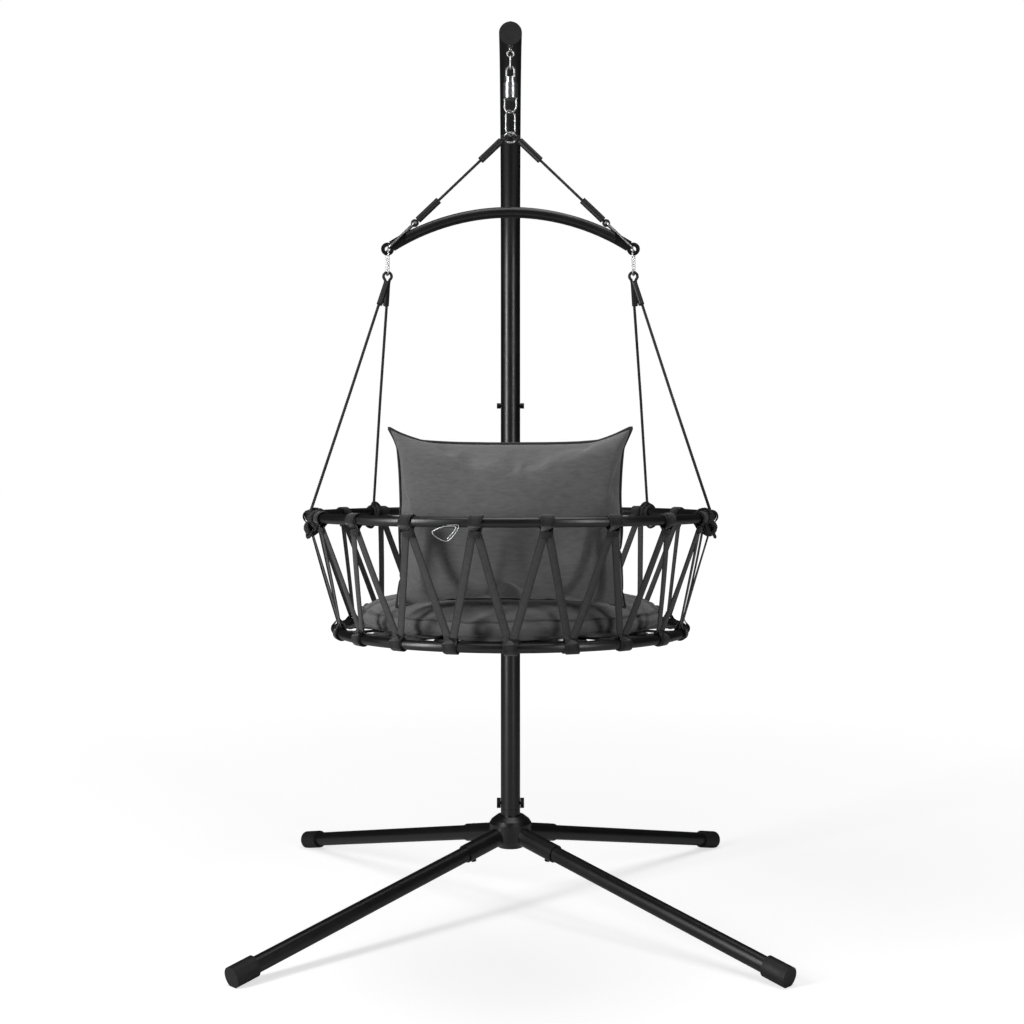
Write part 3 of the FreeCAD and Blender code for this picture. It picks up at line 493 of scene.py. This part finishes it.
def braid_tree():
    """Braided rope: half the yarns turn one way and half the other, over and under in turn."""
    tree = Tree("braid_along_path", Diameter=0.0065, Yarns=8, Lay=0.019, Step=0.0016)
    path = tree.add("GeometryNodeMeshToCurve", Mesh=tree.inputs["Path"])
    path = tree.add("GeometryNodeResampleCurve", {"mode": "LENGTH"}, Curve=path,
                    Length=tree.inputs["Step"])
    half = tree.math("MULTIPLY", tree.inputs["Diameter"], 0.5)
    core_profile = tree.add("GeometryNodeCurvePrimitiveCircle", Resolution=10,
                            Radius=tree.math("MULTIPLY", half, 0.66))
    core = tree.add("GeometryNodeCurveToMesh", Curve=path, Profile_Curve=core_profile,
                    Fill_Caps=True)
    copies = tree.tree.nodes.new("GeometryNodeDuplicateElements")
    copies.domain = "SPLINE"
    tree.tree.links.new(path, copies.inputs["Geometry"])
    tree.tree.links.new(tree.inputs["Yarns"], copies.inputs["Amount"])
    index = copies.outputs["Duplicate Index"]
    hand = tree.math("SUBTRACT", tree.math("MULTIPLY", tree.math("MODULO", index, 2.0), 2.0), 1.0)
    pairs = tree.math("MULTIPLY", tree.inputs["Yarns"], 0.5)
    place = tree.math("FLOOR", tree.math("MULTIPLY", index, 0.5))
    start = tree.math("DIVIDE", tree.math("MULTIPLY", place, 2 * math.pi), pairs)
    measure = tree.tree.nodes.new("GeometryNodeSplineParameter").outputs["Length"]
    turned = tree.math("DIVIDE", tree.math("MULTIPLY", measure, 2 * math.pi), tree.inputs["Lay"])
    angle = tree.math("ADD", tree.math("MULTIPLY", turned, hand), start)
    lift = tree.math("MULTIPLY", tree.math("COSINE", tree.math("MULTIPLY", turned, pairs)), hand)
    radius = tree.math("MULTIPLY", half, tree.math("ADD", tree.math("MULTIPLY", lift, 0.1), 0.62))
    normal = tree.add("GeometryNodeInputNormal")
    tangent = tree.add("GeometryNodeInputTangent")
    side = tree.vector("CROSS_PRODUCT", tangent, normal)
    out = tree.vector("ADD", tree.scaled(normal, tree.math("COSINE", angle)),
                      tree.scaled(side, tree.math("SINE", angle)))
    yarns = tree.add("GeometryNodeSetPosition", Geometry=copies.outputs["Geometry"],
                     Offset=tree.scaled(out, radius))
    yarn_profile = tree.add("GeometryNodeCurvePrimitiveCircle", Resolution=6,
                            Radius=tree.math("MULTIPLY", half, 0.28))
    yarns = tree.add("GeometryNodeCurveToMesh", Curve=yarns, Profile_Curve=yarn_profile,
                     Fill_Caps=True)
    both = tree.tree.nodes.new("GeometryNodeJoinGeometry")
    tree.tree.links.new(core, both.inputs[0])
    tree.tree.links.new(yarns, both.inputs[0])
    return tree.finish(both.outputs[0])


RIBBON, PIPE, BRAID = ribbon_tree(), piping_tree(), braid_tree()


class Paths:
    """Open and closed lines of points, each point with the way the webbing's face looks there."""

    def __init__(self):
        self.points, self.edges, self.facing = [], [], []

    def add(self, points, facing=None, closed=False):
        first = len(self.points)
        self.points += [tuple(point) for point in points]
        self.facing += [tuple(way) for way in (facing or [(0, 0, 1)] * len(points))]
        count = len(points)
        self.edges += [(first + i, first + i + 1) for i in range(count - 1)]
        if closed:
            self.edges.append((first + count - 1, first))


def dress(name, paths, tree, finish, body, slot, **sizes):
    """Runs a tree over the paths and keeps the result as a plain mesh that rides on a body."""
    mesh = bpy.data.meshes.new(name + "_path")
    mesh.from_pydata(paths.points, paths.edges, [])
    stored = mesh.attributes.new("facing", "FLOAT_VECTOR", "POINT")
    for item, way in zip(stored.data, paths.facing):
        item.vector = way
    source = bpy.data.objects.new(name + "_path", mesh)
    bpy.context.scene.collection.objects.link(source)
    modifier = source.modifiers.new("shape", "NODES")
    modifier.node_group = tree
    values = {**sizes, "Finish": finish}
    for item in tree.interface.items_tree:
        if item.in_out == "INPUT" and item.name in values:
            modifier[item.identifier] = values[item.name]
    graph = bpy.context.evaluated_depsgraph_get()
    baked = bpy.data.meshes.new_from_object(source.evaluated_get(graph), depsgraph=graph)
    source.modifiers.clear()
    bpy.data.objects.remove(source)
    return place(name, baked, finish, body, slot)


def place(name, mesh, finish, body, slot):
    mesh.name = name
    if not mesh.materials:
        mesh.materials.append(finish)
    piece = bpy.data.objects.new(name, mesh)
    bpy.context.scene.collection.objects.link(piece)
    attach(piece, body)
    return piece


def middle(node):
    low, high = (Vector(corner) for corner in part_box(node))
    return (low + high) / 2


def extent(node):
    low, high = (Vector(corner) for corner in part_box(node))
    return high - low


# ---- sizes: the hoops' come from the frame, the ropes' and straps' are set here ----------------
AXIS = Vector((middle("upper_ring").x, middle("upper_ring").y, 0))
TUBE = extent("upper_ring").z
TOP_RADIUS = (extent("upper_ring").x - TUBE) / 2
TOP_Z = middle("upper_ring").z
LOW_RADIUS = (extent("lower_ring").x - TUBE) / 2
LOW_Z = middle("lower_ring").z
ROPE = 0.0065
ROPE_LOOP = 0.0082
SLING_EYE = 0.0055
SLING_SLEEVE = 0.058
SLING_REACH = SLING_EYE + ROPE / 2 + SLING_SLEEVE / 2
RING_TILT = math.radians(40)
BACK_KNOT_ANGLE, FRONT_KNOT_ANGLE = 68, 131.5
STRAP_WIDTH = 0.0155
COUNT = 20
STEP = 360 / COUNT
LOW_ANGLES = [index * STEP for index in range(COUNT)]
TOP_ANGLES = [index * STEP + STEP / 2 for index in range(COUNT)]
UP = Vector((0, 0, 1))
random.seed(20)


def outward(angle):
    """Level direction away from the basket's axis; 0 degrees is the chair's back, 90 its right."""
    turn = math.radians(angle)
    return Vector((math.sin(turn), -math.cos(turn), 0))


def round_ring(radius, height, angle, distance, lift=0.0):
    """Point beside a ring: distance outward from its tube's centre line, and lift above it."""
    return AXIS + outward(angle) * (radius + distance) + Vector((0, 0, height + lift))


# ---- straps, bindings and woven seat -----------------------------------------------------------
def strap_legs():
    """Forty flat straps in a zigzag between the rings, pinched together at every binding."""
    paths = Paths()
    top_apart, low_apart, parts = 0.0036, 0.0046, 12
    for low_angle in LOW_ANGLES:
        for sign in (-1, 1):
            high_angle = low_angle + sign * STEP / 2
            high = high_angle - sign * math.degrees(top_apart / TOP_RADIUS)
            low = low_angle + sign * math.degrees(low_apart / LOW_RADIUS)
            top = round_ring(TOP_RADIUS, TOP_Z, high, 0.0006 * sign, -TUBE / 2 - 0.006)
            foot = round_ring(LOW_RADIUS, LOW_Z, low, 0.0006 * sign, TUBE / 2 + 0.004)
            line = foot - top
            belly = random.uniform(-0.0012, 0.0022)
            points, facing = [], []
            for part in range(parts + 1):
                along = part / parts
                way = outward(high + (low - high) * along)
                points.append(top + line * along + way * belly * math.sin(math.pi * along))
                tilt = way - line.normalized() * way.dot(line.normalized())
                facing.append(tilt.normalized())
            paths.add(points, facing)
    return dress("strap_legs", paths, RIBBON, STRAP, BODY_OF["side_straps"], "grey_webbing",
                 Width=STRAP_WIDTH, Thickness=0.0022)


def binding_loop(radius, height, angle, down, grow, yaw):
    """Teardrop loop of webbing round a ring's tube, pointed where the straps leave it."""
    wrap = TUBE / 2 + 0.0013 + grow
    tip = 0.0205 + grow
    spread = math.degrees(math.acos(wrap / tip))
    points, facing = [], []
    steps = 22
    way = -1 if down else 1
    for part in range(steps + 1):
        turn = spread + (360 - 2 * spread) * part / steps
        out, lift = math.sin(math.radians(turn)), math.cos(math.radians(turn)) * way
        sway = math.radians(yaw) * wrap * math.cos(math.radians(turn))
        beside = math.degrees(sway / radius)
        points.append(round_ring(radius, height, angle + beside, wrap * out, wrap * lift))
        facing.append(outward(angle) * out + Vector((0, 0, lift)))
    for side in (1, -1):
        points.append(round_ring(radius, height, angle, side * 0.0012, tip * way))
        facing.append(outward(angle) * side)
    return points, facing


def bindings(name, radius, height, angles, down, width):
    """Two turns of webbing at every place where a pair of straps meets the ring."""
    paths = Paths()
    for angle in angles:
        for grow, lean in ((0.0, 1), (0.0018, -1)):
            yaw = lean * random.uniform(4, 15)
            paths.add(*binding_loop(radius, height, angle + random.uniform(-0.3, 0.3), down, grow,
                                    yaw), closed=True)
    return dress(name, paths, RIBBON, BINDING, BODY_OF[name.replace("_bindings", "_wraps")],
                 "grey_webbing", Width=width, Thickness=0.0017)


def collars(name, radius, height, angles, lift, wide, deep, turns):
    """Narrow tape wound round each pair of straps just off the ring."""
    paths = Paths()
    for angle in angles:
        across = outward(angle + 90)
        for turn in range(turns):
            level = lift + (turn - (turns - 1) / 2) * 0.0036
            swell = (1 + 0.12 * math.sin(math.pi * (turn + 0.5) / turns)
                     + random.uniform(-0.03, 0.03))
            slope = random.uniform(-0.0012, 0.0012)
            centre = round_ring(radius, height, angle, 0, level)
            points, facing = [], []
            for part in range(20):
                spin = 2 * math.pi * part / 20
                way = (across * math.cos(spin) * wide * swell
                       + outward(angle) * math.sin(spin) * deep)
                points.append(centre + way + Vector((0, 0, slope * math.cos(spin))))
                facing.append((across * math.cos(spin) * deep + outward(angle) * math.sin(spin)
                               * wide).normalized())
            paths.add(points, facing, closed=True)
    return dress(name, paths, RIBBON, BINDING, BODY_OF["upper_wraps"], "grey_webbing",
                 Width=0.0044, Thickness=0.0016)


def woven_seat(name, turned):
    """Wide bands across the lower ring that pass over and under the bands of the other layer."""
    width, pitch, count = 0.038, 0.062, 9
    paths = Paths()
    inner = LOW_RADIUS - TUBE / 2
    for index in range(count):
        offset = (index - (count - 1) / 2) * pitch
        half = math.sqrt(inner ** 2 - (abs(offset) + width / 2) ** 2)
        steps = int(half / 0.006) * 2
        points, facing = [], []
        for part in range(steps + 1):
            run = -half + 2 * half * part / steps
            phase = math.cos(math.pi * run / pitch) * (1 if index % 2 else -1)
            rise = 0.0017 * phase * (-1 if turned else 1) - 0.0002
            spot = Vector((offset, run, 0)) if turned else Vector((run, offset, 0))
            points.append(AXIS + spot + Vector((0, 0, LOW_Z + rise)))
            facing.append((0, 0, 1))
        paths.add(points, facing)
    node = "seat_webbing_cross" if turned else "seat_webbing_long"
    return dress(name, paths, RIBBON, BINDING, BODY_OF[node], "grey_webbing", Width=width,
                 Thickness=0.0022)


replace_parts(strap_legs(), "side_straps")
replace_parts(bindings("upper_bindings", TOP_RADIUS, TOP_Z, TOP_ANGLES, down=True, width=0.0235),
            "upper_wraps")
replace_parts(bindings("lower_bindings", LOW_RADIUS, LOW_Z, LOW_ANGLES, down=False, width=0.0245),
            "lower_wraps")
collars("upper_collars", TOP_RADIUS, TOP_Z, TOP_ANGLES, lift=-0.0225, wide=0.0098, deep=0.0036,
        turns=3)
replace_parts(woven_seat("seat_bands_long", False), "seat_webbing_long")
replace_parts(woven_seat("seat_bands_cross", True), "seat_webbing_cross")


# ---- ropes and knots ---------------------------------------------------------------------------
def smooth(points, parts=8, closed=False):
    """Points on one smooth line through the given ones."""
    made, count = [], len(points)
    get = (lambda i: points[i % count]) if closed else (
        lambda i: points[min(max(i, 0), count - 1)])
    for index in range(count if closed else count - 1):
        a, b, c, d = (Vector(get(index + k)) for k in (-1, 0, 1, 2))
        for part in range(parts):
            t = part / parts
            made.append(0.5 * (2 * b + (c - a) * t + (2 * a - 5 * b + 4 * c - d) * t * t
                               + (3 * b - a - 3 * c + d) * t ** 3))
    if not closed:
        made.append(Vector(points[-1]))
    return made


def eye(centre, first, second, radius, start, stop, parts=18):
    """Arc round a centre in the plane of two directions, from one angle to the other."""
    return [centre + first * radius * math.cos(math.radians(start + (stop - start) * i / parts))
            + second * radius * math.sin(math.radians(start + (stop - start) * i / parts))
            for i in range(parts + 1)]


def hanging_rope(side, sign):
    """One rope: up from the back knot, through the link's loop, and down to the front knot."""
    link = middle(f"hanging_link_{side}")
    wire_low = Vector(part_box(f"rope_rear_{side}")[1]).z
    centre = Vector((link.x, link.y, wire_low - ROPE / 2 - ROPE_LOOP))
    fork = centre - Vector((0, 0, ROPE_LOOP))
    back = round_ring(TOP_RADIUS, TOP_Z, sign * BACK_KNOT_ANGLE, TUBE / 2 + ROPE / 2, ROPE)
    front = round_ring(TOP_RADIUS, TOP_Z, sign * FRONT_KNOT_ANGLE, 0, ROPE)
    back_way, front_way = (back - fork).normalized(), (front - fork).normalized()
    near, far, split = 0.012, 0.05, 0.0024
    lean = Vector((sign * split, 0, 0))
    loop = eye(centre, Vector((sign, 0, 0)), UP, ROPE_LOOP, -58, 238)
    paths = Paths()
    paths.add([back, back * 0.5 + fork * 0.5, fork + back_way * far + lean * 0.6,
               fork + back_way * near + lean, *loop, fork + front_way * near - lean,
               fork + front_way * far - lean * 0.6, front * 0.5 + fork * 0.5, front])
    rope = dress(f"braided_rope_{side}", paths, BRAID, YARN, BODY_OF[f"rope_rear_{side}"],
                 "black_rope")
    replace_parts(rope, f"rope_rear_{side}", f"rope_front_{side}")


def sling_rope(side):
    """Short rope from the gather ring to the bow's link, an eye at each end."""
    top_sleeve = middle(f"sling_sleeve_top_{side}")
    low_sleeve = middle(f"sling_sleeve_low_{side}")
    line = (low_sleeve - top_sleeve).normalized()
    top_eye = top_sleeve - line * SLING_REACH
    low_eye = low_sleeve + line * SLING_REACH
    across = Vector((1, 0, 0))
    leaning = Vector((0, math.sin(RING_TILT), math.cos(RING_TILT)))
    paths = Paths()
    paths.add(eye(top_eye, across, leaning, SLING_EYE, 0, 360, 24))
    paths.add(smooth([top_eye + line * SLING_EYE, (top_eye + low_eye) / 2,
                      low_eye - line * SLING_EYE], 12))
    paths.add(eye(low_eye, across, UP, SLING_EYE, 0, 360, 24))
    rope = dress(f"braided_sling_{side}", paths, BRAID, YARN, BODY_OF[f"sling_rope_{side}"],
                 "black_rope", Step=0.002)
    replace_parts(rope, f"sling_rope_{side}")


def knot(name, sign, angle, width, ball, node):
    """Turns of the rope's end round the ring; a back knot adds a ball and a tail under it."""
    paths = Paths()
    turns = max(3, int(round(width / ROPE)))
    around = TUBE / 2 + ROPE / 2
    start = sign * angle - math.degrees((width - ROPE) / 2 / TOP_RADIUS)
    total = math.degrees((width - ROPE) / TOP_RADIUS)
    coil, coil_parts = [], 16
    for part in range(turns * coil_parts + 1):
        spin = 2 * math.pi * part / coil_parts + math.pi / 2
        coil.append(round_ring(TOP_RADIUS, TOP_Z, start + total * part / (turns * coil_parts),
                               around * math.cos(spin), around * math.sin(spin)))
    paths.add(coil)
    crossing, cross_parts, over = [], 24, around + 0.0045
    for part in range(cross_parts + 1):
        spin = math.pi * (0.15 + 1.25 * part / cross_parts)
        wander = (part / cross_parts - 0.5) * total * 0.75
        crossing.append(round_ring(TOP_RADIUS, TOP_Z, sign * angle + wander,
                                   over * math.cos(spin), over * math.sin(spin)))
    paths.add(crossing)
    if ball:
        centre = round_ring(TOP_RADIUS, TOP_Z, sign * angle, 0.008, -0.0187)
        ball_parts = 18
        for layer, (size, loops) in enumerate(((0.0137, 7), (0.0072, 4))):
            wound = []
            for part in range(loops * ball_parts + 1):
                spin = 2 * math.pi * part / ball_parts
                drift = 2 * math.pi * part / (ball_parts * loops) * 1.37 + layer
                flat = Vector((math.cos(spin), math.sin(spin) * 0.62, math.sin(spin) * 0.78))
                flat.rotate(Matrix.Rotation(drift, 3, "Z"))
                flat.rotate(Matrix.Rotation(drift * 0.6, 3, "X"))
                wound.append(centre + flat * size * (1 + 0.07 * math.sin(spin * 2.3)))
            paths.add(wound)
        below = outward(sign * angle)
        beside = outward(sign * angle + 90)
        paths.add(smooth([centre + beside * 0.008 - Vector((0, 0, 0.006)),
                          centre + beside * 0.016 + below * 0.006 - Vector((0, 0, 0.0135)),
                          centre + beside * 0.007 + below * 0.01 - Vector((0, 0, 0.0185)),
                          centre - beside * 0.003 + below * 0.009 - Vector((0, 0, 0.011))]))
    else:
        out = outward(sign * angle)
        beside = outward(sign * angle + 90) * sign
        top = round_ring(TOP_RADIUS, TOP_Z, sign * angle, 0, around)
        paths.add(smooth([top - beside * 0.006, top - beside * 0.001 + UP * 0.008,
                          top + beside * 0.010 + UP * 0.0065, top + beside * 0.020 - UP * 0.002,
                          top + beside * 0.027 - UP * 0.013 + out * 0.004,
                          top + beside * 0.022 - UP * 0.0245 + out * 0.006]))
        foot = round_ring(TOP_RADIUS, TOP_Z, sign * angle, around * 0.6, -around)
        paths.add(smooth([foot + beside * 0.006 + UP * 0.004, foot + beside * 0.011 - UP * 0.010,
                          foot + beside * 0.002 - UP * 0.021, foot - beside * 0.013 - UP * 0.017,
                          foot - beside * 0.019 - UP * 0.006, foot - beside * 0.010 + UP * 0.003]))
    piece = dress(name, paths, BRAID, YARN, BODY_OF[node], "black_rope", Step=0.0021)
    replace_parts(piece, node)


for side, sign in (("left", -1), ("right", 1)):
    hanging_rope(side, sign)
    sling_rope(side)
    knot(f"back_knot_{side}", sign, BACK_KNOT_ANGLE, 0.034, True, f"knot_rear_{side}")
    knot(f"front_knot_{side}", sign, FRONT_KNOT_ANGLE, 0.023, False, f"knot_front_{side}")


# ---- cushions ----------------------------------------------------------------------------------
SWELL_FRAMES = 20


def swell(piece, cap, pressure, slack):
    """Lets the stuffing push the cover out, with no point moving further than the cap."""
    scene = bpy.context.scene
    before = [vertex.co.copy() for vertex in piece.data.vertices]
    cloth = piece.modifiers.new("stuffing", "CLOTH")
    settings = cloth.settings
    settings.quality = 6
    settings.mass = 0.25
    settings.tension_stiffness = settings.compression_stiffness = 18
    settings.shear_stiffness = 6
    settings.bending_stiffness = 0.35
    settings.use_pressure = True
    settings.uniform_pressure_force = pressure
    settings.shrink_min = slack
    settings.effector_weights.gravity = 0
    cloth.collision_settings.use_collision = False
    for frame_number in range(1, SWELL_FRAMES + 1):
        scene.frame_set(frame_number)
    graph = bpy.context.evaluated_depsgraph_get()
    after = [vertex.co.copy() for vertex in piece.evaluated_get(graph).data.vertices]
    piece.modifiers.remove(cloth)
    scene.frame_set(1)
    for vertex, old, new in zip(piece.data.vertices, before, after):
        move = new - old
        if move.length > cap:
            move *= cap / move.length
        vertex.co = old + move


def padded_piece(name, points, faces, finish, node, cap, pressure, slack):
    mesh = bpy.data.meshes.new(name)
    mesh.from_pydata(points, [], faces)
    mesh.polygons.foreach_set("use_smooth", [True] * len(faces))
    piece = place(name, mesh, finish, BODY_OF[node], "grey_canvas")
    swell(piece, cap, pressure, slack)
    finer = piece.modifiers.new("finer", "SUBSURF")
    finer.levels = finer.render_levels = 1
    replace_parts(piece, node)
    return piece


def pillow():
    """Knife-edge pillow: two panels sewn round their edge, with ears at the corners."""
    across, up = 74, 58
    centre, lean = middle("back_pillow"), math.radians(9)
    turn = Matrix.Rotation(lean, 3, "X")
    wide, tall, deep = 0.218, 0.160, 0.06

    def spot(u, v, face):
        x = u * (wide + (0.010 * v ** 3 if v > 0 else 0.004 * v))
        sag = 0.013 if v > 0 else 0.003
        z = v * (tall if v > 0 else tall + 0.009)
        z += abs(v) ** 3 * math.copysign(1, v) * sag * (abs(u) ** 3.2 - 0.35)
        full = max(0.0, (1 - abs(u) ** 2.6) * (1 - abs(v) ** 2.6)) ** 0.52
        dents = 1 + 0.05 * math.sin(5.1 * u + 1.3) * math.sin(4.3 * v + 0.4)
        y = face * deep * full * dents * (1 + 0.12 * (0.3 - v))
        return turn @ Vector((x, y, z)) + centre

    points, index = [], {}
    for face in (-1, 1):
        for i in range(across + 1):
            for j in range(up + 1):
                rim = i in (0, across) or j in (0, up)
                if rim and face == 1:
                    index[face, i, j] = index[-1, i, j]
                    continue
                index[face, i, j] = len(points)
                points.append(spot(2 * i / across - 1, 2 * j / up - 1, 0 if rim else face))
    faces = []
    for face in (-1, 1):
        for i in range(across):
            for j in range(up):
                quad = [index[face, i, j], index[face, i + 1, j], index[face, i + 1, j + 1],
                        index[face, i, j + 1]]
                faces.append(quad if face == -1 else quad[::-1])
    rim = ([(i, 0) for i in range(across)] + [(across, j) for j in range(up)]
           + [(i, up) for i in range(across, 0, -1)] + [(0, j) for j in range(up, 0, -1)])
    piece = padded_piece("back_pillow_cover", points, faces, PILLOW_CANVAS, "back_pillow",
                         0.016, 4.0, -0.03)
    return piece, [index[-1, i, j] for i, j in rim]


def seat_pad():
    """Round box cushion: a crowned top, a band round the side, and a flat underside."""
    spokes = 132
    low, high = (Vector(corner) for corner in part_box("seat_cushion"))
    radius = (high.x - low.x) / 2 - 0.005
    base, top = low.z + 0.005, high.z - 0.004
    crown, shoulder, bulge, sag = 0.012, 0.010, 0.006, 0.004
    rings, side = 26, 6
    rows = [(radius * k / rings,
             top + crown * (1 - (k / rings) ** 3) - shoulder * (k / rings) ** 8)
            for k in range(1, rings + 1)]
    seam_top = len(rows) - 1
    rows += [(radius + bulge * math.sin(math.pi * k / side),
              top - shoulder - (top - shoulder - base - sag) * k / side)
             for k in range(1, side + 1)]
    seam_low = len(rows) - 1
    rows += [(radius * k / rings,
              base - sag * (1 - (k / rings) ** 4) + sag * (k / rings) ** 8)
             for k in range(rings - 1, 0, -1)]
    centre = Vector((middle("seat_cushion").x, middle("seat_cushion").y, 0))
    points = [centre + Vector((0, 0, top + crown))]
    for row, (out, height) in enumerate(rows):
        for spoke in range(spokes):
            turn = 2 * math.pi * spoke / spokes
            ripple = 0.0018 * math.sin(23 * turn + 2) * math.sin(9 * turn) * (out / radius) ** 6
            points.append(centre + Vector((math.cos(turn), math.sin(turn), 0)) * (out + ripple)
                          + Vector((0, 0, height + ripple * 0.6)))
    points.append(centre + Vector((0, 0, base - sag)))
    last = len(points) - 1
    faces = [(0, 1 + s, 1 + (s + 1) % spokes) for s in range(spokes)]
    for row in range(len(rows) - 1):
        for s in range(spokes):
            a, b = 1 + row * spokes + s, 1 + row * spokes + (s + 1) % spokes
            faces.append((a, a + spokes, b + spokes, b))
    foot = 1 + (len(rows) - 1) * spokes
    faces += [(last, foot + (s + 1) % spokes, foot + s) for s in range(spokes)]
    piece = padded_piece("seat_cushion_cover", points, faces, SEAT_CANVAS, "seat_cushion",
                         0.008, 3.0, -0.02)
    return piece, [[1 + row * spokes + s for s in range(spokes)] for row in (seam_top, seam_low)]


def piping(name, piece, loops, body_node, finish):
    """Covered cord sewn into the seams of a finished cover."""
    paths = Paths()
    for loop in loops:
        paths.add(smooth([piece.data.vertices[i].co for i in loop], 2, closed=True), closed=True)
    dress(name, paths, PIPE, finish, BODY_OF[body_node], "grey_canvas", Diameter=0.0052)


pillow_piece, pillow_rim = pillow()
piping("pillow_piping", pillow_piece, [pillow_rim], "back_pillow", PIPING)
seat_piece, seat_rims = seat_pad()
piping("seat_piping", seat_piece, seat_rims, "seat_cushion", SEAT_PIPING)


# ---- wire clip on the back of the upper ring ---------------------------------------------------
def wire_clip():
    """Bent wire triangle; each corner is degrees along the ring, distance outward and lift."""
    out = TUBE / 2 + 0.003
    angle = -15.8
    corners = [(0.3, out, -0.005), (3.2, out, -0.007), (0.3, out - 0.001, -0.033),
               (-3.5, out, -0.020), (-1.0, out + 0.001, -0.0085), (2.6, out + 0.0015, -0.0085),
               (0.4, out + 0.0015, -0.029)]
    points = [round_ring(TOP_RADIUS, TOP_Z, angle + turn, far, lift)
              for turn, far, lift in corners]
    paths = Paths()
    paths.add(smooth(points, 10))
    dress("tie_clip", paths, PIPE, ZINC, BODY_OF["upper_ring"], "zinc_steel", Diameter=0.0016)


wire_clip()


# ---- finishes of the frame's own parts ---------------------------------------------------------
for part in frame["record"]["subparts"]:
    mesh = frame["nodes"][part["node"]].data
    for index in range(len(mesh.materials)):
        mesh.materials[index] = FINISH_OF_SLOT[part["material_slot"]]
